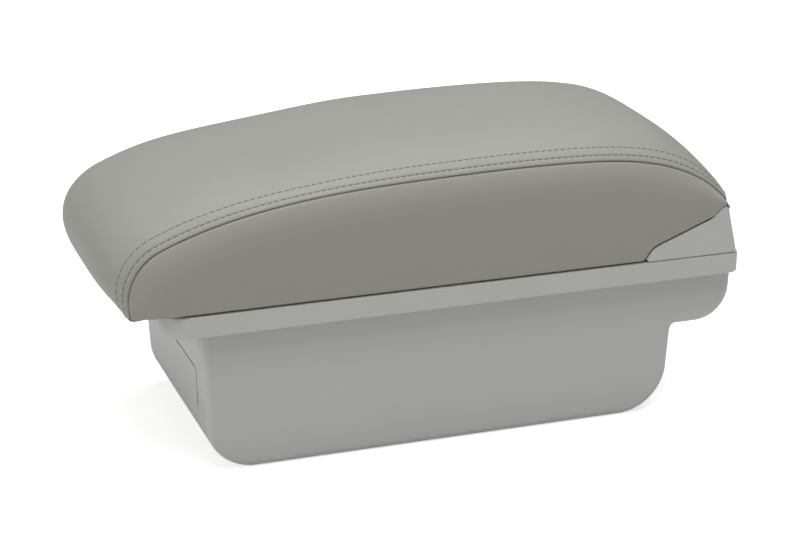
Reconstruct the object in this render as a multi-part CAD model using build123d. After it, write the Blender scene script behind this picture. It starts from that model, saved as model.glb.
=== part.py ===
from build123d import *
import math
import os

# Car centre armrest: a moulded storage bin with a rim, a hinge housing on its rear deck and a padded lid.
# Millimetres. +X runs from the lid's nose to the hinge, +Z up, origin at the middle of the bin's flat bottom.

# Bin
bin_front_reach = 133.5
bin_rear_reach = 135.2
bin_front_lean = 5.0
bin_rear_lean = 3.6
bin_draft = 0.9
bin_wall = 2.6
bin_edge_radius = 4.5
floor_radius_front = 26.0
floor_radius_rear = 28.0
shelf_length = 35.2
shelf_underside = 50.1
shelf_lean = 1.2
shelf_radius = 20.0
shelf_inner_radius = 3.0

# Rim around the mouth
rim_half_width = 76.0
rim_side_overhang = 7.6
rim_front_overhang = 19.5
rim_rear_overhang = 0.6
rim_top = 92.0
rim_skirt = 12.0
rim_plate = 2.6
skirt_wall = 2.4
rim_corner_front = 15.0
rim_corner_rear = 6.0
rim_edge = 1.2
mouth_lip = 3.0
mouth_corner = 11.0
rib_thickness = 1.8
rib_height = 8.0
rib_count = 4

# Slit in the front wall
slit_y = -52.0
slit_end_y = 8.0
slit_z = 54.0
slit_foot_y = -48.4
slit_foot_z = 31.5
slit_width = 1.1
slit_foot_width = 2.2
slit_corner = 3.2

# Screw holes in the floor
floor_hole_radius = 2.75
floor_hole_pitch_x = 160.0
floor_hole_pitch_y = 70.0
floor_boss_radius = 8.0
floor_boss_height = 2.0

# Hinge
hinge_from_foot = 8.1
hinge_height = 24.5
barrel_radius = 2.6
pin_radius = 1.25
running_clearance = 0.05
knuckle_length = 26.0
knuckle_pitch = 84.0
knuckle_side_gap = 0.9
knuckle_arm_angle = 120.0
washer_thickness = 0.7
washer_step = 0.2
notch_clearance = 0.7
pin_cap_length = 3.0

# Hinge housing
housing_length = 55.3
housing_rear_step = 2.7
housing_toe_angle = 57.0
housing_toe_radius = 2.0
housing_knee_rise = 7.5
housing_knee_radius = 14.0
housing_crook_run = 7.5641
housing_crook_radius = 8.0
housing_crook_angle = 45.0
housing_wall = 2.4
housing_edge = 0.8
housing_reveal_height = 0.5
housing_reveal_depth = 0.9
housing_boss_radius = 4.2
housing_boss_from_toe = 14.4
housing_boss_from_foot = 12.3
housing_boss_from_side = 18.0

# Screws and bumpers
screw_clearance = 0.1
screw_tip_room = 2.0
deck_screw_radius = 1.5
deck_screw_head = 3.1
deck_screw_head_height = 2.0
deck_screw_length = 12.0
bumper_from_front = 11.0
bumper_from_side = 24.0
bumper_radius = 4.5
bumper_height = 0.7
bumper_stem_radius = 1.8
bumper_stem_length = 4.5

# Lid outline: the seam between the top cover and a side cover, seen from the side
lid_rest_gap = 1.0
lid_hinge_gap = 0.8
nose_overhang = 16.6
nose_heading = 95.2
nose_rise = 5.5
nose_radius = 28.9
nose_turn = 71.8
knee_from_nose = 74.6
knee_rise = 50.8
crest_from_hinge = 160.2
crest_rise = 58.2
shoulder_from_hinge = 85.2
shoulder_rise = 58.4
drop_from_hinge = 25.2
drop_rise = 48.0
tip_reach = 5.6
tip_polar = 72.0
tip_heading = -51.4

# Lid section
seam_set_in = 4.0
side_proud = 0.2
side_edge_radius = 3.8
crown_rise = 16.4
crown_power = 3.5
crown_sharpness = 0.79
crown_root = 6.0
crown_nose_rise = 2.4
crown_nose_run = 28.5
crown_dip = 3.5
crown_dip_from_nose = 122.0
crown_dip_reach = 68.0
crown_tail_rise = 8.2
crown_tail_run = 52.0
crown_least_rise = 0.4
crown_stations = 15
arch_points = 8
cover_thickness = 1.6
frame_thickness = 2.8

# Lining under the lid
lining_thickness = 2.0
lining_clearance = 1.6
lining_rear_gap = 6.6
lining_screw_inset = 13.0
lining_screw_radius = 1.5
lining_screw_head = 2.8
lining_screw_head_height = 1.4
lining_screw_length = 8.0
lining_boss_radius = 4.0

# Places that follow from the sizes above
bin_front = -bin_front_reach
bin_half_width = rim_half_width - rim_side_overhang
shelf_rear = bin_rear_reach + shelf_length
rim_front = bin_front - rim_front_overhang
rim_rear = shelf_rear + rim_rear_overhang
rim_bottom = rim_top - rim_skirt
deck_underside = rim_top - rim_plate
housing_foot_x = rim_rear - housing_rear_step
housing_toe_x = housing_foot_x - housing_length
hinge_x = housing_foot_x - hinge_from_foot
hinge_z = rim_top + hinge_height
hinge_point = Vector(hinge_x, hinge_z)
mouth_front = bin_front + bin_wall + mouth_lip
mouth_rear = housing_toe_x - mouth_lip
mouth_half = bin_half_width - bin_wall - mouth_lip
lid_bottom = rim_top + lid_rest_gap
nose_x = rim_front - nose_overhang
seam_half_width = rim_half_width - seam_set_in
far = 4 * rim_rear


def direction(angle):
    """A unit vector in the side view, at an angle in degrees above +X."""
    return Vector(math.cos(math.radians(angle)), math.sin(math.radians(angle)))


def extrude_sides(profile, low_y, high_y):
    """A profile drawn in the side view, extruded from low_y to high_y."""
    return extrude(Plane.XZ.offset(-low_y) * profile, amount=-(high_y - low_y))


def upright(x, y, z, radius, height):
    """A vertical cylinder standing on z."""
    return Pos(x, y, z) * Cylinder(radius, height, align=(Align.CENTER, Align.CENTER, Align.MIN))


def across(radius, low_y, high_y):
    """A cylinder on the hinge axis."""
    return extrude_sides(Pos(hinge_x, hinge_z) * Circle(radius), low_y, high_y)


def plan_plate(x0, x1, half, z0, z1, front_radius, rear_radius):
    """A flat plate with one radius on its front corners and another on its rear corners."""
    plate = Pos((x0 + x1) / 2, 0, (z0 + z1) / 2) * Box(x1 - x0, 2 * half, z1 - z0)
    plate = fillet(plate.edges().filter_by(Axis.Z).sort_by(Axis.X)[:2], front_radius)
    return fillet(plate.edges().filter_by(Axis.Z).sort_by(Axis.X)[-2:], rear_radius)


def round_corner(face, place, radius):
    """A side-view face with the corner nearest to a place rounded."""
    return fillet(face.vertices().sort_by_distance(Vector(*place))[0], radius)


def bin_form(inset, top):
    """The bin's outer form up to a level, or its inside when inset by the wall."""
    x0 = bin_front + inset
    x1 = bin_rear_reach - inset
    x2 = shelf_rear - inset
    half = bin_half_width - inset
    front_foot = (x0 + bin_front_lean, inset)
    rear_foot = (x1 - bin_rear_lean, inset)
    step = (x1, shelf_underside + inset)
    shelf_end = (x2 - shelf_lean, shelf_underside + inset)
    face = make_face(Polyline((x0, top), front_foot, rear_foot, step, shelf_end, (x2, top), close=True))
    face = round_corner(face, front_foot, floor_radius_front - inset)
    face = round_corner(face, rear_foot, floor_radius_rear - inset)
    face = round_corner(face, step, shelf_inner_radius + inset)
    face = round_corner(face, shelf_end, shelf_radius - inset)
    block = extrude_sides(face, -half, half)
    section = make_face(Polyline(
        (-half + bin_draft, 0), (half - bin_draft, 0), (half, rim_top), (half, far), (-half, far),
        (-half, rim_top), close=True,
    ))
    block = block & extrude(Plane.YZ.offset(-far) * section, amount=2 * far)
    side_edges = block.edges().filter_by(lambda e: abs(abs(e.center().Y) - half + bin_draft / 2) < bin_draft)
    return fillet(side_edges.filter_by(lambda e: e.center().Z < top - rim_edge), bin_edge_radius - inset)


def screw(x, y, seat_z, head_radius, head_height, shank_radius, length):
    """A pan-head screw driven upwards: its head hangs under seat_z and its shank goes on above it."""
    head = upright(x, y, seat_z - head_height, head_radius, head_height)
    head = chamfer(head.edges().sort_by(Axis.Z)[0], head_height * 0.4)
    return head + upright(x, y, seat_z, shank_radius, length)


# Storage bin: the tub with its stepped rear end, its slit and its floor bosses
storage_bin = bin_form(0, deck_underside)
tub_block = storage_bin
storage_bin -= bin_form(bin_wall, rim_top)

# The slit: a thin line that turns down at one end and widens towards its foot
half_slit = slit_width / 2
half_foot = slit_foot_width / 2
slit_outer_bend = (slit_y - half_slit, slit_z + half_slit)
slit_inner_bend = (slit_y + half_slit, slit_z - half_slit)
slit = make_face(Polyline(
    (slit_end_y, slit_z + half_slit), slit_outer_bend, (slit_foot_y - half_foot, slit_foot_z),
    (slit_foot_y + half_foot, slit_foot_z), slit_inner_bend, (slit_end_y, slit_z - half_slit), close=True,
))
slit = round_corner(slit, slit_outer_bend, slit_corner + slit_width)
slit = round_corner(slit, slit_inner_bend, slit_corner)
storage_bin -= extrude(Plane.YZ.offset(bin_front) * slit, amount=bin_front_lean + bin_wall)

floor_hole_places = [
    (sx * floor_hole_pitch_x / 2, sy * floor_hole_pitch_y / 2) for sx in (-1, 1) for sy in (-1, 1)
]
for x, y in floor_hole_places:
    storage_bin += upright(x, y, bin_wall / 2, floor_boss_radius, bin_wall / 2 + floor_boss_height)
    storage_bin -= upright(x, y, 0, floor_hole_radius, bin_wall + floor_boss_height)

# Rim: moulded in one with the tub, with its skirt, the deck behind the mouth and the ribs under its front
bin_rim = plan_plate(
    rim_front, rim_rear, rim_half_width, rim_bottom, rim_top, rim_corner_front, rim_corner_rear,
)
rim_levels = bin_rim.faces().sort_by(Axis.Z)
bin_rim = fillet(rim_levels[0].edges() + rim_levels[-1].edges(), rim_edge)
bin_rim -= plan_plate(
    rim_front + skirt_wall, rim_rear - skirt_wall, rim_half_width - skirt_wall, rim_bottom - rim_edge,
    deck_underside, rim_corner_front - skirt_wall, rim_corner_rear - skirt_wall,
)
bin_rim -= plan_plate(
    mouth_front, mouth_rear, mouth_half, deck_underside - rim_plate, rim_top + rim_plate, mouth_corner,
    mouth_corner,
)
bin_rim -= tub_block
rib_x0 = rim_front + skirt_wall / 2
rib_x1 = bin_front + bin_front_lean
rib_z0 = deck_underside - rib_height
rib_z1 = rim_top - rim_plate / 2
rib_half_span = rim_half_width - rim_corner_front
for place in range(rib_count):
    rib_y = rib_half_span * (2 * place / (rib_count - 1) - 1)
    rib = Box(rib_x1 - rib_x0, rib_thickness, rib_z1 - rib_z0)
    bin_rim += Pos((rib_x0 + rib_x1) / 2, rib_y, (rib_z0 + rib_z1) / 2) * rib - tub_block

boss_y = rim_half_width - housing_boss_from_side
housing_boss_rows = (housing_toe_x + housing_boss_from_toe, housing_foot_x - housing_boss_from_foot)
housing_boss_places = [(x, side * boss_y) for x in housing_boss_rows for side in (-1, 1)]
for x, y in housing_boss_places:
    bin_rim -= upright(x, y, deck_underside, deck_screw_radius + screw_clearance, rim_plate)
bumper_y = rim_half_width - bumper_from_side
bumper_places = [(rim_front + bumper_from_front, side * bumper_y) for side in (-1, 1)]
for x, y in bumper_places:
    bin_rim -= upright(x, y, deck_underside, bumper_stem_radius + screw_clearance, rim_plate)


# Hinge housing: a wedge, hollow from below, that rises to a thin barrel at the top of its rear face
def housing_profile():
    """Side view of the wedge: toe, knee, slope and crook up to the barrel, then the leaning rear face."""
    toe = Vector(housing_toe_x, rim_top)
    knee_run = housing_knee_rise / math.sin(math.radians(housing_toe_angle))
    knee = toe + direction(housing_toe_angle) * knee_run
    touch = hinge_point + direction(90 + housing_crook_angle) * barrel_radius
    crook = touch - direction(housing_crook_angle) * housing_crook_run
    lean = math.degrees(math.atan2(hinge_from_foot - barrel_radius, hinge_height))
    back_touch = hinge_point + direction(lean) * barrel_radius
    front = Polyline(toe, knee, crook, touch)
    cap = ThreePointArc(touch, hinge_point + direction(45 + lean) * barrel_radius, back_touch)
    base = Polyline(back_touch, (housing_foot_x, rim_top), toe)
    face = make_face(Curve() + front + cap + base)
    face = round_corner(face, knee, housing_knee_radius)
    return round_corner(face, crook, housing_crook_radius)


wedge = housing_profile()
housing_half_width = rim_half_width
blunt_wedge = round_corner(wedge, (housing_toe_x, rim_top), housing_toe_radius)
hinge_housing = extrude_sides(blunt_wedge, -housing_half_width, housing_half_width)
side_faces = hinge_housing.faces().sort_by(Axis.Y)
outer_edges = side_faces[0].edges() + side_faces[-1].edges()
outer_edges = outer_edges.filter_by(lambda e: e.center().Z > rim_top + rim_edge)
hinge_housing = fillet(outer_edges, housing_edge)
reveal = Pos(0, 0, rim_top + housing_reveal_height / 2) * Box(far, 2 * rim_half_width, housing_reveal_height)
reveal_core_length = housing_foot_x - housing_toe_x - 2 * housing_reveal_depth
reveal_core_x = (housing_foot_x + housing_toe_x) / 2
reveal_core_width = 2 * (housing_half_width - housing_reveal_depth)
reveal -= Pos(reveal_core_x, 0, rim_top) * Box(reveal_core_length, reveal_core_width, rim_skirt)
hinge_housing -= reveal
inner_wedge = offset(wedge, amount=-housing_wall)
hollow = inner_wedge + Pos(0, -housing_wall) * inner_wedge
hollow -= Pos(hinge_x, hinge_z) * Rectangle(housing_length, 4 * barrel_radius)
hollow_half = housing_half_width - housing_wall
hinge_housing -= extrude_sides(hollow, -hollow_half, hollow_half)
screw_reach = deck_screw_length - rim_plate + screw_tip_room
for x, y in housing_boss_places:
    boss = upright(x, y, rim_top, housing_boss_radius, hinge_height)
    hinge_housing += boss & extrude_sides(wedge, -hollow_half, hollow_half)
    hinge_housing -= upright(x, y, rim_top, deck_screw_radius, screw_reach)
knuckle_centres = (-knuckle_pitch / 2, knuckle_pitch / 2)
notch_half = knuckle_length / 2 + knuckle_side_gap
for y in knuckle_centres:
    hinge_housing -= across(barrel_radius + notch_clearance, y - notch_half, y + notch_half)
hinge_housing -= across(pin_radius, -housing_half_width, housing_half_width)

# Hinge pin, its end caps and the thrust washers beside each knuckle
pin_half = housing_half_width - pin_cap_length
hinge_pin = across(pin_radius, -pin_half, pin_half)
pin_caps = Compound(children=[
    across(pin_radius, -housing_half_width, -pin_half), across(pin_radius, pin_half, housing_half_width),
])
washer_list = []
for y in knuckle_centres:
    for side in (-1, 1):
        low = y + side * (knuckle_length + knuckle_side_gap) / 2 - washer_thickness / 2
        ring = across(barrel_radius - washer_step, low, low + washer_thickness)
        washer_list.append(ring - across(pin_radius + running_clearance, low, low + washer_thickness))
thrust_washers = Compound(children=washer_list)
deck_screws = Compound(children=[
    screw(x, y, deck_underside, deck_screw_head, deck_screw_head_height, deck_screw_radius, deck_screw_length)
    for x, y in housing_boss_places
])

# Rubber bumpers: a flat button on the rim with a stem through its plate
lid_bumpers = Compound(children=[
    upright(x, y, rim_top, bumper_radius, bumper_height)
    + upright(x, y, rim_top - bumper_stem_length, bumper_stem_radius, bumper_stem_length)
    for x, y in bumper_places
])


# Lid outline in side view
def seam_pieces():
    """The seam from the bottom of the nose, round its bend and over the crest to its end above the hinge."""
    start = Vector(nose_x, lid_bottom)
    front = Line(start, start + direction(nose_heading) * nose_rise)
    nose = JernArc(front @ 1, front % 1, nose_radius, -nose_turn)
    knee = Vector(nose_x + knee_from_nose, lid_bottom + knee_rise)
    crest = Vector(hinge_x - crest_from_hinge, lid_bottom + crest_rise)
    shoulder = Vector(hinge_x - shoulder_from_hinge, lid_bottom + shoulder_rise)
    drop = Vector(hinge_x - drop_from_hinge, lid_bottom + drop_rise)
    tip = hinge_point + direction(tip_polar) * tip_reach
    back = Spline(nose @ 1, knee, crest, shoulder, drop, tip, tangents=(nose % 1, direction(tip_heading)))
    return front, nose, back


seam_parts = seam_pieces()
seam = Wire(seam_parts)
closing = Polyline(seam @ 1, hinge_point, (hinge_x, lid_bottom), (nose_x, lid_bottom))
hinge_room = offset(wedge, amount=lid_hinge_gap)
lid_side = make_face(Curve() + list(seam_parts) + closing) - hinge_room
lid_side = lid_side.faces().sort_by(SortBy.AREA)[-1]
frame_band = offset(wedge, amount=lid_hinge_gap + frame_thickness)
frame_band += Pos(0, lid_bottom + frame_thickness - far / 2) * Rectangle(2 * far, far)
frame_side = lid_side & frame_band
foam_side = (lid_side - frame_side).faces().sort_by(SortBy.AREA)[-1]


def ease(share):
    """0 up to a share of 0, 1 from a share of 1, and half a cosine wave between."""
    return 0.5 * (1 - math.cos(math.pi * min(max(share, 0), 1)))


def crown_height(s, inset):
    """Rise of the centre line over the seam at s: a sine at the nose, a shallow dip, a fall at the tail."""
    lead = math.sin(math.pi / 2 * min(1, s / crown_nose_run))
    dip = ease(1 - abs(s - crown_dip_from_nose) / crown_dip_reach)
    tail = ease(1 - (seam.length - s) / crown_tail_run)
    rise = crown_nose_rise + (crown_rise - crown_nose_rise) * lead
    rise -= crown_dip * dip + (crown_rise - crown_tail_rise) * tail
    return max(rise - inset, crown_least_rise)


def crown_section(s, inset):
    """One section square to the seam: a flattened arch over the lid's width, on a root below the seam."""
    half = seam_half_width - inset
    rise = crown_height(s, inset)
    arch = []
    for k in range(-arch_points, arch_points + 1):
        u = math.sin(math.pi / 2 * k / arch_points)
        arch.append((half * u, rise * (1 - abs(u) ** crown_power) ** crown_sharpness))
    outline = Spline(*arch) + Polyline((half, 0), (half, -crown_root), (-half, -crown_root), (-half, 0))
    place = seam.position_at(s / seam.length)
    way = seam.tangent_at(s / seam.length)
    return Plane((place.X, 0, place.Y), x_dir=(0, 1, 0), z_dir=(way.X, 0, way.Y)) * make_face(outline)


def crown(inset):
    """The crown as a loft through sections that stand closer together towards the nose and the tail."""
    sections = []
    for station in range(crown_stations):
        lead = station / (crown_stations - 1)
        share = 0.4 * lead + 0.3 * (1 - math.cos(math.pi * lead))
        sections.append(crown_section(inset + share * (seam.length - 2 * inset), inset))
    return loft(sections)


# Foam and top cover
outer_crown = crown(0)
lid_frame = extrude_sides(frame_side, -seam_half_width, seam_half_width)
hinge_space = extrude_sides(hinge_room, -rim_half_width, rim_half_width)
lid_foam = extrude_sides(foam_side, -seam_half_width, seam_half_width) + crown(cover_thickness)
lid_foam = lid_foam - hinge_space - lid_frame
lid_block = extrude_sides(lid_side, -seam_half_width, seam_half_width)
top_cover = (outer_crown - lid_foam - lid_block - hinge_space).solids().sort_by(SortBy.VOLUME)[-1]


# Side covers: a padded leather panel on each side of the lid, rounded along the seam
def on_seam(edge):
    """True for an edge whose middle lies on the seam in the side view."""
    middle = edge.position_at(0.5)
    return seam.distance_to(Vector(middle.X, middle.Z)) < crown_least_rise


def side_cover(side):
    """The cover on one side, as thick as the seam is set in from the lid's side."""
    inner = side * seam_half_width
    outer = side * (rim_half_width + side_proud)
    panel = extrude_sides(lid_side, min(inner, outer), max(inner, outer))
    outer_rim = panel.edges().filter_by(lambda e: abs(e.center().Y - outer) < side_proud / 2)
    return fillet(outer_rim.filter_by(on_seam), side_edge_radius)


left_side_cover = side_cover(1)
right_side_cover = side_cover(-1)

# Lid frame: the pan under the foam, with bosses for the lining screws and the two hinge knuckles
lining_front = mouth_front + lining_clearance
lining_rear = mouth_rear - lining_rear_gap
lining_half = mouth_half - lining_clearance
lining_corner = mouth_corner - lining_clearance
lining_underside = lid_bottom - lining_thickness
lining_screw_y = lining_half - lining_screw_inset
lining_first = lining_front + lining_screw_inset
lining_last = lining_rear - lining_screw_inset
lining_rows = (lining_first, (lining_first + lining_last) / 2, lining_last)
lining_places = [(x, side * lining_screw_y) for x in lining_rows for side in (-1, 1)]
for x, y in lining_places:
    boss = upright(x, y, lid_bottom, lining_boss_radius, lining_screw_length + screw_tip_room)
    lid_frame += boss
    lid_foam -= boss
arm_length = barrel_radius + lid_hinge_gap + frame_thickness / 2
arm = Pos(hinge_x, hinge_z) * Rot(0, 0, knuckle_arm_angle) * Pos(arm_length / 2, 0)
knuckle_side = Pos(hinge_x, hinge_z) * Circle(barrel_radius) + arm * Rectangle(arm_length, 2 * barrel_radius)
for y in knuckle_centres:
    knuckle = extrude_sides(knuckle_side, y - knuckle_length / 2, y + knuckle_length / 2)
    lid_frame += knuckle
    lid_foam -= knuckle
    lid_frame -= across(pin_radius + running_clearance, y - knuckle_length, y + knuckle_length)

# Lining: the panel that closes the lid's underside inside the mouth, with its screws
lid_lining = plan_plate(
    lining_front, lining_rear, lining_half, lining_underside, lid_bottom, lining_corner, lining_corner,
)
for x, y in lining_places:
    lid_lining -= upright(x, y, lining_underside, lining_screw_radius + screw_clearance, lining_thickness)
    lid_frame -= upright(x, y, lid_bottom, lining_screw_radius, lining_screw_length - lining_thickness)
lining_screws = Compound(children=[
    screw(x, y, lining_underside, lining_screw_head, lining_screw_head_height, lining_screw_radius,
          lining_screw_length)
    for x, y in lining_places
])

pieces = {
    "storage_bin": storage_bin, "bin_rim": bin_rim, "hinge_housing": hinge_housing, "hinge_pin": hinge_pin,
    "pin_caps": pin_caps, "thrust_washers": thrust_washers, "deck_screws": deck_screws,
    "lid_bumpers": lid_bumpers, "lid_frame": lid_frame, "lid_foam": lid_foam, "top_cover": top_cover,
    "left_side_cover": left_side_cover, "right_side_cover": right_side_cover, "lid_lining": lid_lining,
    "lining_screws": lining_screws,
}
os.makedirs("parts", exist_ok=True)
for name, piece in pieces.items():
    export_step(piece, "parts/" + name + ".step")
    print(name, len(piece.solids()), round(piece.volume), piece.bounding_box().size)
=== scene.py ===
import bpy
import numpy as np
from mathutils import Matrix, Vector


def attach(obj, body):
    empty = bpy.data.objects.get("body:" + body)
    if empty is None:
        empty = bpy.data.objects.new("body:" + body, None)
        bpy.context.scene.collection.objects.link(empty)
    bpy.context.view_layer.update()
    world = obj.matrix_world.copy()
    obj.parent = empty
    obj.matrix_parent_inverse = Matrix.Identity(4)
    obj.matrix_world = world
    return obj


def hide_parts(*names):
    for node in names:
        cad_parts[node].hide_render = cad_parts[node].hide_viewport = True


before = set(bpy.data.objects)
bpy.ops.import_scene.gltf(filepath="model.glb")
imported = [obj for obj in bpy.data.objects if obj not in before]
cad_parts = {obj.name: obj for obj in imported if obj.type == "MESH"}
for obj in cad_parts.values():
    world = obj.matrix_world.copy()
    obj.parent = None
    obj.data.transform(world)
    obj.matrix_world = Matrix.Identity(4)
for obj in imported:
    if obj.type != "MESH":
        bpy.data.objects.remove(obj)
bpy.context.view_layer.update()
mm = 0.001


# Storage bin: one injection moulding with a thin wall, a rim with a skirt, and a slit in its front wall.
# Polypropylene in a warm grey, with the fine spark-eroded grain of the steel tool.
class Value:
    """A shader socket in a Python expression: + - and * add Math nodes, also with a number on the left."""

    def __init__(self, finish, socket):
        self.finish = finish
        self.socket = socket

    def math(self, operation, a, b):
        return self.finish.node("ShaderNodeMath", {"operation": operation}, {0: a, 1: b})

    def __add__(self, other):
        return self.math("ADD", self, other)

    def __radd__(self, other):
        return self.math("ADD", other, self)

    def __sub__(self, other):
        return self.math("SUBTRACT", self, other)

    def __rsub__(self, other):
        return self.math("SUBTRACT", other, self)

    def __mul__(self, other):
        return self.math("MULTIPLY", self, other)

    def __rmul__(self, other):
        return self.math("MULTIPLY", other, self)


class Finish:
    """A material with one Principled shader, and the one method that adds any other node to it."""

    def __init__(self, name, **constants):
        self.material = bpy.data.materials.new(name)
        self.material.use_nodes = True
        self.tree = self.material.node_tree
        self.shader = self.tree.nodes["Principled BSDF"]
        for socket, value in constants.items():
            self.shader.inputs[socket.replace("_", " ")].default_value = value

    def node(self, kind, settings=None, inputs=None, output=0):
        """Adds a node: its settings first, then a value or a link for each input; gives one output."""
        made = self.tree.nodes.new(kind)
        for key, value in (settings or {}).items():
            setattr(made, key, value)
        for key, value in (inputs or {}).items():
            if isinstance(value, Value):
                self.tree.links.new(value.socket, made.inputs[key])
            else:
                made.inputs[key].default_value = value
        return Value(self, made.outputs[output])

    def place(self):
        """Object coordinates, in metres, which don't move with the camera."""
        return self.node("ShaderNodeTexCoord", output="Object")

    def noise(self, scale, detail=2.0, roughness=0.5):
        """Noise from 0 to 1, with scale in cells a metre."""
        return self.node("ShaderNodeTexNoise", None, {
            "Vector": self.place(), "Scale": scale, "Detail": detail, "Roughness": roughness,
        })

    def cells(self, scale, feature="F1"):
        """Distance to the nearest Voronoi cell point or edge, with scale in cells a metre."""
        return self.node("ShaderNodeTexVoronoi", {"feature": feature}, {
            "Vector": self.place(), "Scale": scale, "Randomness": 1.0,
        }, "Distance")

    def blend(self, factor, a, b):
        """Colour a where the factor is 0 and b where it is 1."""
        return self.node("ShaderNodeMix", {"data_type": "RGBA"}, {0: factor, 6: a, 7: b}, 2)

    def feed(self, **links):
        """Links values to the shader's sockets."""
        for socket, value in links.items():
            self.tree.links.new(value.socket, self.shader.inputs[socket.replace("_", " ")])

    def bump(self, height, depth):
        """Bumps the shader's normal: height from 0 to 1 over a depth in metres."""
        self.feed(Normal=self.node("ShaderNodeBump", None, {
            "Strength": 1.0, "Distance": depth, "Height": height,
        }))


def linear(*srgb):
    """A colour read in 8-bit sRGB, as the linear RGBA that a shader takes."""
    share = np.array(srgb) / 255
    return (*np.where(share <= 0.04045, share / 12.92, ((share + 0.055) / 1.055) ** 2.4), 1.0)


def shades(colour, spread):
    """A darker and a lighter shade of a linear colour, apart by its spread on both sides."""
    return [(*(share * channel for channel in colour[:3]), 1.0) for share in (1 - spread, 1 + spread)]


def paint(node, finish):
    """Gives a carried-over node its finish."""
    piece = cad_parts[node]
    piece.data.materials.clear()
    piece.data.materials.append(finish.material)


def moulded_plastic(name, colour, grain_depth, roughness):
    """Moulded plastic: faint flow mottling in the colour, and a spark-eroded grain of two sizes."""
    finish = Finish(name, IOR=1.46)
    mottle = finish.noise(scale=22.0, detail=3.0, roughness=0.6)
    finish.feed(Base_Color=finish.blend(mottle, *shades(colour, 0.025)))
    coarse = finish.noise(scale=1400.0, detail=3.0, roughness=0.65)
    fine = finish.noise(scale=4200.0, detail=2.0, roughness=0.5)
    grain = coarse * 0.7 + fine * 0.3
    finish.feed(Roughness=roughness - 0.05 + 0.1 * grain)
    finish.bump(grain, grain_depth)
    return finish


bin_colour = linear(193, 194, 188)
bin_finish = moulded_plastic("bin_plastic", bin_colour, grain_depth=0.05 * mm, roughness=0.52)
paint("storage_bin", bin_finish)
paint("bin_rim", bin_finish)


# Hinge housing: a wedge-shaped cover of the same plastic, screwed to the deck behind the bin's mouth.
# Its end caps close the bore of the hinge pin.
paint("hinge_housing", bin_finish)
paint("pin_caps", bin_finish)


# Hinge pin, screws and washers: a turned pin and pressed screws of zinc-plated steel, and white nylon
# rings beside the knuckles. The pin is pressed into the housing and shows only when the lid is lifted.
steel = Finish("zinc_steel", Metallic=1.0, Base_Color=linear(170, 172, 176))
steel.feed(Roughness=0.28 + 0.14 * steel.noise(scale=900.0, detail=3.0))
for node in ("hinge_pin", "deck_screws", "lining_screws"):
    paint(node, steel)
nylon = Finish("nylon", Base_Color=linear(225, 224, 216))
nylon.feed(Roughness=0.35 + 0.1 * nylon.noise(scale=600.0))
paint("thrust_washers", nylon)


# Lid bumpers: two black buttons of moulded rubber, pressed into holes in the rim's front.
# The closed lid rests on them.
rubber = Finish("bumper_rubber", Base_Color=linear(38, 38, 38))
rubber.feed(Roughness=0.7 + 0.15 * rubber.noise(scale=700.0, detail=3.0))
rubber.bump(rubber.noise(scale=2500.0), depth=0.03 * mm)
paint("lid_bumpers", rubber)


# Lid frame and lining: the black moulded pan that carries the padding and the hinge's knuckles, and the
# grey panel that is screwed under it and hides the edges of the leather.
# The frame's near-black is partly its own colour and partly painted shade: it darkens the gap between the lid
# and the rim, where the gap's shadow falls.
frame_and_gap_shade_colour = linear(46, 46, 45)
frame_finish = moulded_plastic("frame_plastic", frame_and_gap_shade_colour, grain_depth=0.05 * mm, roughness=0.55)
paint("lid_frame", frame_finish)
lining_colour = linear(150, 151, 146)
lining_finish = moulded_plastic("lining_plastic", lining_colour, grain_depth=0.06 * mm, roughness=0.6)
paint("lid_lining", lining_finish)


# Foam: one moulded polyurethane block on the frame, crowned on top, over which the covers are pulled.
# The covers hide it on every side but the frame's.
hinge_x = 160.2
hinge_z = 116.5
lid_bottom = 93.0
nose_x = -169.6
nose_heading = np.radians(95.2)
nose_rise = 5.5
nose_radius = 28.9
nose_turn = np.radians(71.8)
seam_knots = ((-95.0, 143.8), (0.0, 151.2), (75.0, 151.4), (135.0, 141.0))
tip_reach = 5.6
tip_polar = np.radians(72.0)
tip_heading = np.radians(-51.4)
curl_radius = 2.0
curl_turn = np.radians(60.0)
curl_length = curl_radius * curl_turn
curl_steps = 14
rise_points = 40
bend_points = 60
back_points = 900
curl_points = 40
seam_half = 72.0


def direction(angle):
    """The unit vector at an angle, in side view."""
    return np.array([np.cos(angle), np.sin(angle)])


def smooth_curve(points, first_way, last_way, count):
    """A cubic spline through the points, with continuous curvature and its ends along two unit vectors."""
    points = np.asarray(points, float)
    h = np.hypot(*np.diff(points, axis=0).T)
    slope = np.diff(points, axis=0) / h[:, None]
    n = len(points)
    matrix = np.eye(n)
    right = np.zeros((n, 2))
    right[0], right[-1] = first_way, last_way
    for i in range(1, n - 1):
        matrix[i, i - 1:i + 2] = h[i], 2 * (h[i - 1] + h[i]), h[i - 1]
        right[i] = 3 * (h[i] * slope[i - 1] + h[i - 1] * slope[i])
    way = np.linalg.solve(matrix, right)
    t = np.linspace(0, h.sum() * (1 - 1e-9), count)
    span = np.searchsorted(np.cumsum(h), t, side="right")
    u = ((t - np.concatenate([[0], np.cumsum(h)])[span]) / h[span])[:, None]
    hs = h[span][:, None]
    a, b, ma, mb = points[span], points[span + 1], way[span], way[span + 1]
    return (2 * u**3 - 3 * u**2 + 1) * a + (u**3 - 2 * u**2 + u) * hs * ma \
        + (3 * u**2 - 2 * u**3) * b + (u**3 - u**2) * hs * mb


def turn_right(start, heading, radius, turn, count):
    """Points on an arc that leaves start along a heading and turns clockwise."""
    angle = heading + np.pi / 2 - np.linspace(0, turn, count)[:, None]
    centre = start - radius * direction(heading + np.pi / 2)
    return centre + radius * np.concatenate([np.cos(angle), np.sin(angle)], 1)


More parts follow.
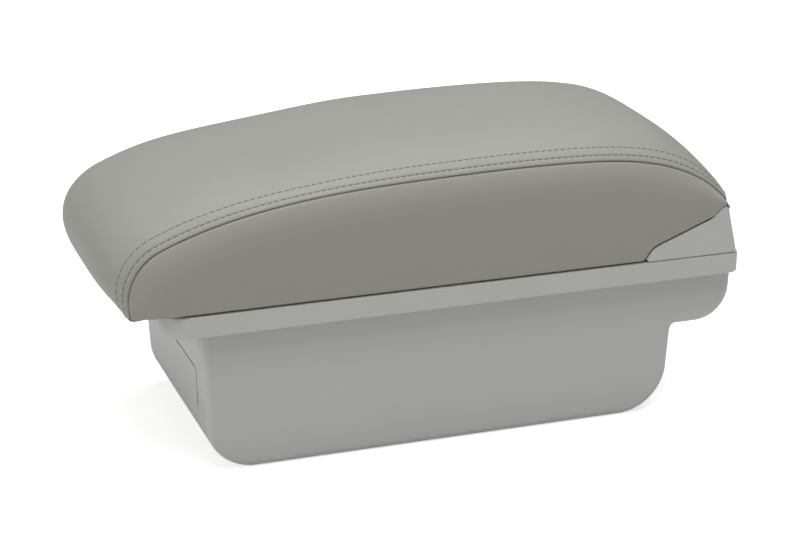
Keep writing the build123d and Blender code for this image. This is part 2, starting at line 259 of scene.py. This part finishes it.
def seam_line(count):
    """The seam in side view: points, unit ways and unit outward normals, with the distance run.

    A line, an arc, a clamped spline and a small curl over the hinge. Steps are even, and finer over the
    curl."""
    way = direction(nose_heading)
    start = np.array([nose_x, lid_bottom])
    rise = start + way * np.linspace(0, nose_rise, rise_points)[:-1, None]
    bend = turn_right(start + way * nose_rise, nose_heading, nose_radius, nose_turn, bend_points)
    tip = np.array([hinge_x, hinge_z]) + tip_reach * direction(tip_polar)
    leaving = direction(nose_heading - nose_turn)
    back = smooth_curve([bend[-1], *seam_knots, tip], leaving, direction(tip_heading), back_points)
    curl = turn_right(tip, tip_heading, curl_radius, curl_turn, curl_points)
    line = np.concatenate([rise, bend[:-1], back, curl[1:]])
    run = np.concatenate([[0], np.cumsum(np.hypot(*np.diff(line, axis=0).T))])
    fine_from = run[-1] - 2 * curl_length
    coarse = np.linspace(0, fine_from, count - curl_steps)
    even = np.concatenate([coarse, np.linspace(fine_from, run[-1], curl_steps + 1)[1:]])
    points = np.stack([np.interp(even, run, line[:, k]) for k in (0, 1)], -1)
    ways = np.gradient(points, even, axis=0)
    ways /= np.linalg.norm(ways, axis=1)[:, None]
    return points, ways, np.stack([-ways[:, 1], ways[:, 0]], -1), even


crown_rise = 16.4
crown_power = 3.5
crown_sharpness = 0.79
crown_nose_rise = 2.4
crown_nose_run = 28.5
crown_dip = 3.5
crown_dip_from_nose = 122.0
crown_dip_reach = 68.0
crown_tail_rise = 8.2
crown_tail_run = 52.0
crown_points = 401


def ease(share):
    """0 up to a share of 0, 1 from a share of 1, and half a cosine wave between."""
    return 0.5 * (1 - np.cos(np.pi * np.clip(share, 0, 1)))


def crown_height(s, length):
    """Rise of the centre line over the seam: a sine at the nose, a dip, a cosine fall, then 0 in the curl."""
    lead = np.sin(np.pi / 2 * np.minimum(1, s / crown_nose_run))
    dip = ease(1 - np.abs(s - crown_dip_from_nose) / crown_dip_reach)
    tail = ease(1 - (length - s) / crown_tail_run)
    curl = np.clip((s - length) / curl_length, 0, 1)
    rise = crown_nose_rise + (crown_rise - crown_nose_rise) * lead - crown_dip * dip
    return (rise - (crown_rise - crown_tail_rise) * tail) * (1 - curl)


def crown_grid(stations, across, inset):
    """The crown as a grid: seam point + normal * (rise * (1 - |u|^power)^sharpness - inset), u from -1 to 1.

    across takes each section's length over the surface, and gives the distances from the near seam to
    sample."""
    points, ways, normals, s = seam_line(stations)
    u = np.sin(np.linspace(-np.pi / 2, np.pi / 2, crown_points))
    arch = (1 - np.abs(u) ** crown_power) ** crown_sharpness
    up = crown_height(s, s[-1] - curl_length)[:, None] * arch
    y = np.broadcast_to(u * (seam_half - inset), up.shape)
    run = np.concatenate([np.zeros((stations, 1)), np.cumsum(np.hypot(np.diff(y), np.diff(up)), 1)], 1)
    length = run[:, -1:]
    wanted = across(length)
    yy = np.stack([np.interp(w, r, row) for w, r, row in zip(wanted, run, y)])
    hh = np.stack([np.interp(w, r, row) for w, r, row in zip(wanted, run, up)]) - inset
    grid = np.stack([points[:, :1] + normals[:, :1] * hh, yy, points[:, 1:] + normals[:, 1:] * hh], -1)
    return grid, wanted, length, s


gap_to_housing = 0.8
rim_top = 92.0
toe_x = 113.0
toe_angle = np.radians(57.0)
knee_z = 99.5
knee_softness = 1.4
slope_angle = np.radians(21.0)
crook_angle = np.radians(45.0)
barrel = 2.6
gap_to_barrel = 0.3


def underside(x):
    """Height of the lid's underside over x: level, then up the wedge's toe and slope, then round the barrel.

    Toe and slope join in a soft minimum of two straight lines, -k log(exp(-toe/k) + exp(-slope/k))."""
    knee_x = toe_x + (knee_z - rim_top) / np.tan(toe_angle)
    toe = rim_top + (x - toe_x) * np.tan(toe_angle) + gap_to_housing / np.cos(toe_angle)
    slope = knee_z + (x - knee_x) * np.tan(slope_angle) + gap_to_housing / np.cos(slope_angle)
    wedge = -knee_softness * np.logaddexp(-toe / knee_softness, -slope / knee_softness)
    touch_x = hinge_x - barrel * np.sin(crook_angle)
    touch_z = hinge_z + barrel * np.cos(crook_angle)
    steep = touch_z + (x - touch_x) * np.tan(crook_angle) + gap_to_barrel / np.cos(crook_angle)
    reach = barrel + gap_to_barrel
    ring = hinge_z + np.sqrt(np.maximum(reach**2 - (x - hinge_x) ** 2, 0))
    apex = np.where(x < hinge_x - reach * np.sin(crook_angle), steep, ring)
    return np.maximum(lid_bottom, np.where(x < hinge_x, np.maximum(wedge, apex), ring))


foam_inset = 4.5
foam_base = 3.2
foam_least = 0.2
foam_rows = 161
foam_columns = 49
foam_base_step = 8
rows_off_nose = 2
rows_off_tail = 18


def foam_shape():
    """The foam as closed rings: the crown's section, inset, then back along the frame under it."""
    grid = crown_grid(foam_rows, lambda length: length * np.linspace(0, 1, foam_columns), foam_inset)[0]
    grid = grid[rows_off_nose:-rows_off_tail]
    floor = underside(grid[..., 0]) + foam_base
    grid[..., 2] = np.maximum(grid[..., 2], floor + foam_least)
    base = grid[:, ::-foam_base_step].copy()
    base[..., 0] = np.maximum(base[..., 0], nose_x + foam_inset)
    base[..., 2] = floor[:, ::-foam_base_step]
    return np.concatenate([grid, base], 1)


def mesh_piece(name, grid, closed=False):
    """A grid of points, in millimetres, as a mesh of quads.

    A closed one has rings for rows and a cap at each end."""
    rows, columns = grid.shape[:2]
    index = np.arange(rows * columns).reshape(rows, columns)
    caps = [index[0].tolist(), index[-1, ::-1].tolist()] if closed else []
    if closed:
        index = np.concatenate([index, index[:, :1]], 1)
    quads = np.stack([index[:-1, :-1], index[1:, :-1], index[1:, 1:], index[:-1, 1:]], -1).reshape(-1, 4)
    mesh = bpy.data.meshes.new(name)
    mesh.from_pydata((grid.reshape(-1, 3) * mm).tolist(), [], quads.tolist() + caps)
    mesh.shade_smooth()
    piece = bpy.data.objects.new(name, mesh)
    bpy.context.collection.objects.link(piece)
    return piece


foam_finish = Finish("foam", Roughness=0.9)
pores = foam_finish.cells(scale=1600.0)
foam_finish.feed(Base_Color=foam_finish.blend(pores, linear(150, 147, 132), linear(196, 192, 174)))
foam_finish.bump(pores, depth=0.15 * mm)
foam_piece = mesh_piece("lid_foam_block", foam_shape(), closed=True)
foam_piece.data.materials.append(foam_finish.material)
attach(foam_piece, "lid")
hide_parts("lid_foam")


# Side covers: a D-shaped leather panel on each side, backed with thin foam, sewn to the top cover along
# the seam. Its lower edge is turned in under the frame.
side_bulge = 5.0
bulge_run = 20.0
least_bulge_run = 1.5
bulge_run_share = 0.5
bulge_power = 2.4
side_rows = 48
least_height = 0.05
least_slant = 0.2
edge_height_share = 0.3
nose_lean = 0.12
edge_radius = 0.8
lean_in = 0.9
lean_height = 24.0
turned_in = 2.0
turned_up = 0.3
seam_roll = 0.9
seam_depth = 2.2
edge_columns = 10
corner_reach = 7.0
corner_fill = 0.75
stations = 424
seam_points, seam_ways, seam_normals, seam_run = seam_line(stations)
seam_edge = seam_roll * (1 - np.cos(np.linspace(0, np.pi / 2, edge_columns)))


def rolled_edge(distance):
    """Depth of a sewn edge below the plain surface: a quarter ellipse, seam_depth by seam_roll."""
    return seam_depth * (1 - np.sqrt(1 - (1 - np.clip(distance / seam_roll, 0, 1)) ** 2))


def distance_to_seam(x, z):
    """Least distance from each place in side view to the seam, taken as chords of three steps."""
    start = seam_points[:-3:3]
    chord = seam_points[3::3] - start
    dx, dz = x[..., None] - start[:, 0], z[..., None] - start[:, 1]
    share = np.clip((dx * chord[:, 0] + dz * chord[:, 1]) / (chord**2).sum(1), 0, 1)
    return np.hypot(dx - share * chord[:, 0], dz - share * chord[:, 1]).min(-1)


def side_grid(side):
    """A side panel as columns from the seam to the underside, and turned in there.

    At a distance d from the seam it has 1 - (1 - d/run)^power of the full bulge, less the rolled edge at
    the seam, which is shallower at the nose's foot, and less the rounding and lean of the lower edge."""
    x, top = seam_points.T
    foot = np.maximum(x, nose_x + nose_lean * seam_run)
    bottom = np.minimum(underside(foot), top - least_height)
    height = (top - bottom)[:, None]
    slant = np.maximum(np.abs(seam_ways[:, :1]), least_slant)
    edge = np.minimum(seam_edge / slant, height * edge_height_share * seam_edge / seam_roll)
    rows = edge[:, -1:] + (height - edge[:, -1:]) * np.linspace(0, 1, side_rows)[1:]
    drop = np.concatenate([edge, rows], 1)
    z = top[:, None] - drop
    across = x[:, None] + (foot - x)[:, None] * drop / height
    depth = distance_to_seam(across, z)
    tail_run = np.clip(bulge_run_share * height, least_bulge_run, bulge_run)
    run = np.where(x[:, None] > 0, tail_run, bulge_run)
    bulge = side_bulge * (1 - (1 - np.clip(depth / run, 0, 1)) ** bulge_power)
    lift = z - bottom[:, None]
    near = np.clip(lift / edge_radius, 0, 1)
    from_nose = np.clip((across - nose_x) / corner_reach, 0, 1)
    corner = np.clip(1 - np.maximum(lift / corner_reach, from_nose), 0, 1)
    lean = lean_in * from_nose * np.clip(1 - lift / lean_height, 0, 1) ** 2
    tuck = edge_radius * (1 - np.sqrt(near * (2 - near))) + lean
    y = seam_half + bulge - rolled_edge(depth) * (1 - corner_fill * corner) - tuck
    grid = np.stack([across, side * y, z], -1)
    inner = grid[:, -1:].copy()
    inner[..., 1] = side * (seam_half - turned_in)
    inner[..., 2] += turned_up
    return np.concatenate([grid, inner], 1)


leather_grain = 0.035 * mm
leather_thickness = 1.0 * mm


def leather(name, colour):
    """Smooth coated leather: pebbled grain with fine creases, darker in the creases and unevenly glossy."""
    finish = Finish(name, IOR=1.45)
    pebbles = finish.cells(scale=1150.0, feature="DISTANCE_TO_EDGE")
    grain = finish.node("ShaderNodeMapRange", {"interpolation_type": "SMOOTHSTEP"}, {
        "Value": pebbles, "From Min": 0.0, "From Max": 0.28, "To Min": 0.0, "To Max": 1.0,
    })
    fine = finish.noise(scale=3800.0, detail=2.0)
    cloud = finish.noise(scale=14.0, detail=3.0, roughness=0.55)
    finish.feed(Base_Color=finish.blend(cloud * 0.6 + grain * 0.4, *shades(colour, 0.03)))
    finish.feed(Roughness=0.5 + 0.08 * cloud - 0.04 * grain)
    finish.bump(grain * 0.75 + fine * 0.25, leather_grain)
    return finish


def leather_cover(name, grid, finish):
    """A leather surface with its thickness, inwards, that moves with the lid."""
    piece = mesh_piece(name, grid)
    piece.data.materials.append(finish.material)
    solid = piece.modifiers.new("leather", "SOLIDIFY")
    solid.thickness = leather_thickness
    solid.offset = -1.0
    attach(piece, "lid")
    return piece


side_leather = leather("side_leather", linear(157, 156, 148))
for side, name in ((-1, "right_side_cover"), (1, "left_side_cover")):
    grid = side_grid(side)
    panel = leather_cover(name + "_leather", grid[:, ::-1] if side < 0 else grid, side_leather)
    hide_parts(name)


# Top cover: one leather panel from the nose's underside over the crown to the hinge, sewn to the side
# covers. Its seam allowance is folded back under it and held by two rows of topstitching.
row_near = 3.6
row_far = 8.9
stitch_pitch = 3.6
edge_band = 12.4
edge_gap = 0.3
edge_step = 0.36
middle_columns = 30
allowance_rise = 0.4
allowance_margin = 0.8
allowance_fade = 0.5
dip_depth = 0.18
needle_depth = 0.16
dip_half_width = 0.55
nose_tuck_steps = ((2.0, 0, -0.15), (5.0, 0, 0.1), (9.0, 0, 0.3))
tail_tuck_x = -1.2
tail_tuck_z = 0.3
tail_fold_shares = (0.3, 0.7, 1.0)


def across_top(length):
    """Distances from the near seam for one section: fine steps beside both seams, wide ones between."""
    edge = np.concatenate([seam_edge, np.arange(seam_edge[-1] + edge_gap, edge_band, edge_step)])
    middle = np.linspace(0, 1, middle_columns + 2)[1:-1]
    inside = edge[-1] + middle * (length - 2 * edge[-1])
    ones = np.ones_like(length)
    return np.concatenate([ones * edge, inside, length - ones * edge[::-1]], 1)


def relief(distance, s):
    """Height of the sewn edge over the plain surface.

    A raised allowance that fades by a logistic curve, less the seam's groove, which is shallower at the
    nose's foot, and less a bell-shaped dip along each row of stitches, deepest at each needle hole."""
    allowance = allowance_rise / (1 + np.exp((distance - row_far - allowance_margin) / allowance_fade))
    groove = rolled_edge(distance) * (1 - corner_fill * np.clip(1 - s[:, None] / corner_reach, 0, 1))
    rows = [np.exp(-((distance - row) / dip_half_width) ** 2) for row in (row_near, row_far)]
    needle = 0.5 + 0.5 * np.cos(2 * np.pi * s[:, None] / stitch_pitch)
    return allowance - groove - (dip_depth + needle_depth * needle) * (rows[0] + rows[1])


def surface_normals(grid):
    """Unit normals of a grid, from the cross product of its two gradients."""
    normal = np.cross(np.gradient(grid, axis=0), np.gradient(grid, axis=1))
    return normal / np.maximum(np.linalg.norm(normal, axis=-1, keepdims=True), 1e-9)


top_grid, top_across, top_length, top_run = crown_grid(stations, across_top, 0.0)
top_normal = surface_normals(top_grid)
edge_distance = np.minimum(top_across, top_length - top_across)
top_skin = top_grid + top_normal * relief(edge_distance, top_run)[..., None]
nose_tuck = top_skin[:1] + np.array(nose_tuck_steps)[:, None]
tail = top_skin[-1:]
tail_root = tail.copy()
tail_root[..., 0] = seam_points[-1, 0] + tail_tuck_x
tail_root[..., 2] = seam_points[-1, 1] + tail_tuck_z
tail_fold = [tail + share * (tail_root - tail) for share in tail_fold_shares]
top_sheet = np.concatenate([nose_tuck[::-1], top_skin, *tail_fold])
top_leather = leather("top_leather", linear(151, 151, 145))
top_piece = leather_cover("top_cover_leather", top_sheet, top_leather)
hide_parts("top_cover")


# Topstitching: two rows on each side in a darker polyester thread. Each stitch is a short bowed length
# of thread that dives into the leather at both ends.
thread_radius = 0.15
stitch_length = 3.1
stitch_dive = 2.4
stitch_taper = 0.55
stitch_sides = 6
stitch_rings = 7
pitches_off_tail = 3
thread = Finish("stitch_thread", Base_Color=linear(108, 107, 100))
ply = thread.node("ShaderNodeTexWave", {"wave_type": "BANDS", "bands_direction": "DIAGONAL"}, {
    "Vector": thread.place(), "Scale": 900.0, "Distortion": 1.0,
})
thread.feed(Roughness=0.55 + 0.2 * ply)
thread.bump(ply, depth=0.04 * mm)


def along_row(field, wanted, s):
    """The top cover's points or normals along one row: wanted from the near seam, at the runs s."""
    row = [[np.interp(w, d, line[:, k]) for k in range(3)] for w, d, line in zip(wanted, top_across, field)]
    return np.stack([np.interp(s, top_run, column) for column in np.transpose(row)], -1)


def stitch_row(wanted):
    """One row's stitches as tubes, sunk and thinned by even powers of the way from their middle."""
    ring_turn = np.linspace(0, 2 * np.pi, stitch_sides + 1)[:-1, None]
    along = np.linspace(-1, 1, stitch_rings)
    last = top_run[-1] - pitches_off_tail * stitch_pitch
    centres = np.arange(stitch_pitch, last, stitch_pitch) + stitch_pitch / 2
    s = centres[:, None] + along * stitch_length / 2
    middle = along_row(top_skin, wanted, s)
    up = along_row(top_normal, wanted, s)
    way = np.gradient(middle, axis=1)
    way /= np.linalg.norm(way, axis=-1, keepdims=True)
    out = np.cross(way, up)[:, :, None]
    middle = middle + up * (thread_radius * (1 - stitch_dive * along**4))[:, None]
    radius = thread_radius * (1 - stitch_taper * along**6)[:, None, None]
    return middle[:, :, None] + radius * (np.cos(ring_turn) * out + np.sin(ring_turn) * up[:, :, None])


rows = []
for row in (row_near, row_far):
    rows += [stitch_row(np.full(stations, row)), stitch_row(top_length[:, 0] - row)]
stitches = np.concatenate(rows)
index = np.arange(stitches[..., 0].size).reshape(stitches.shape[:3])
ends = np.concatenate([index[:, 0], index[:, -1, ::-1]])
index = np.concatenate([index, index[..., :1]], -1)
corners = index[:, :-1, :-1], index[:, 1:, :-1], index[:, 1:, 1:], index[:, :-1, 1:]
walls = np.stack(corners, -1).reshape(-1, 4)
stitch_mesh = bpy.data.meshes.new("topstitching")
stitch_mesh.from_pydata((stitches.reshape(-1, 3) * mm).tolist(), [], walls.tolist() + ends.tolist())
stitch_mesh.shade_smooth()
stitch_mesh.materials.append(thread.material)
stitching = bpy.data.objects.new("topstitching", stitch_mesh)
bpy.context.collection.objects.link(stitching)
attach(stitching, "lid")


# Seam shade: a near-black cord at the bottom of each seam's groove, painted shade that stands for the
# groove's shadow.
# It shows as the crisp dark line between the top cover and the side covers.
seam_shade_radius = 0.8
seam_shade_sink = 1.02
seam_shade_inset = 0.7
nose_sink_share = 0.45
cord_sides = 8
rings_off_nose = 1
rings_off_tail = 8
# Painted shade: the cord's near-black colour stands for the shadow deep in the seam's groove.
seam_shade_cord_finish = Finish("seam_shade_cord_finish", Base_Color=linear(28, 27, 25), Roughness=0.8)


def seam_cord(side):
    """Rings of points round the seam's line, sunk along its normal and inwards, less at the nose."""
    turn = np.linspace(0, 2 * np.pi, cord_sides + 1)[:-1]
    sink = seam_shade_sink * (1 - nose_sink_share * np.clip(1 - seam_run[:, None] / corner_reach, 0, 1))
    step = seam_shade_radius * np.cos(turn) - sink
    x = seam_points[:, :1] + seam_normals[:, :1] * step
    z = seam_points[:, 1:] + seam_normals[:, 1:] * step
    y = side * (seam_half - seam_shade_inset) + seam_shade_radius * np.sin(turn) + 0 * x
    return np.stack([x, y, z], -1)[rings_off_nose:-rings_off_tail]


for side, name in ((-1, "right_seam_shade_cord"), (1, "left_seam_shade_cord")):
    cord = mesh_piece(name, seam_cord(side), closed=True)
    cord.data.materials.append(seam_shade_cord_finish.material)
    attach(cord, "lid")


# Floor: a plain white table top that keeps only the soft shadow.
# It glows for the camera alone, and more so further out, where it meets the white background.
floor_half = 6.0
glow_from = 0.4
glow_full_from = 1.4
least_glow = 0.68
floor_corners = [(-floor_half, -floor_half, 0), (floor_half, -floor_half, 0), (floor_half, floor_half, 0),
                 (-floor_half, floor_half, 0)]
floor_mesh = bpy.data.meshes.new("floor")
floor_mesh.from_pydata(floor_corners, [], [(0, 1, 2, 3)])
floor = bpy.data.objects.new("floor", floor_mesh)
bpy.context.collection.objects.link(floor)
floor_finish = Finish("floor_white", Base_Color=linear(228, 228, 228), Roughness=0.9, Emission_Strength=1.0)
sight = floor_finish.node("ShaderNodeLightPath", output="Is Camera Ray")
place = floor_finish.place()
away = floor_finish.node("ShaderNodeVectorMath", {"operation": "LENGTH"}, {0: place}, "Value")
glow = floor_finish.node("ShaderNodeMapRange", None, {
    "Value": away, "From Min": glow_from, "From Max": glow_full_from, "To Min": least_glow, "To Max": 1.0,
})
floor_finish.feed(Emission_Color=floor_finish.blend(sight, (0, 0, 0, 1), glow))
floor_mesh.materials.append(floor_finish.material)


# World and lamps: a white room, dimmed for every ray but the camera's and those through glass, with a
# large soft lamp overhead and a weak one in front of the nose.
world_light = 0.2
lamp_target = Vector((0, 0, 0.1))
world = bpy.data.worlds.new("studio")
bpy.context.scene.world = world
world.use_nodes = True
nodes, links = world.node_tree.nodes, world.node_tree.links
background = nodes["Background"]
background.inputs["Color"].default_value = (1, 1, 1, 1)
path = nodes.new("ShaderNodeLightPath")
seen = nodes.new("ShaderNodeMath")
seen.operation = "MAXIMUM"
links.new(path.outputs["Is Camera Ray"], seen.inputs[0])
links.new(path.outputs["Is Transmission Ray"], seen.inputs[1])
strength = nodes.new("ShaderNodeMapRange")
strength.inputs["To Min"].default_value = world_light
strength.inputs["To Max"].default_value = 1.0
links.new(seen.outputs[0], strength.inputs["Value"])
links.new(strength.outputs[0], background.inputs["Strength"])


def soft_light(name, place, size, power):
    """A square area lamp at place, in metres and watts, turned towards the part."""
    lamp = bpy.data.lights.new(name, "AREA")
    lamp.size = size
    lamp.energy = power
    holder = bpy.data.objects.new(name, lamp)
    bpy.context.collection.objects.link(holder)
    holder.location = place
    holder.rotation_euler = (lamp_target - Vector(place)).to_track_quat("-Z", "Y").to_euler()


soft_light("top", place=(0.15, -0.2, 1.8), size=1.8, power=38.0)
soft_light("left", place=(-1.5, 0.1, 0.6), size=1.0, power=6.5)


# Camera: the photograph's view, from ahead of the near side and a little above, with a long lens.
# Its place and lens were found by fitting the part's straight edges and outline to the photograph's.
view_turn = np.radians(19.051)
view_lift = np.radians(19.878)
view_distance = 1.2812
view_target = Vector((-0.00073, 0.0, 0.07754))
level = np.cos(view_lift)
back = Vector((-np.sin(view_turn) * level, -np.cos(view_turn) * level, np.sin(view_lift)))
camera_data = bpy.data.cameras.new("camera")
camera_data.lens = 103.5
camera_data.sensor_width = 36.0
camera_data.sensor_fit = "HORIZONTAL"
camera = bpy.data.objects.new("camera", camera_data)
bpy.context.collection.objects.link(camera)
camera.location = view_target + view_distance * back
camera.rotation_euler = back.to_track_quat("Z", "Y").to_euler()
bpy.context.scene.camera = camera
bpy.context.scene.view_settings.view_transform = "Standard"
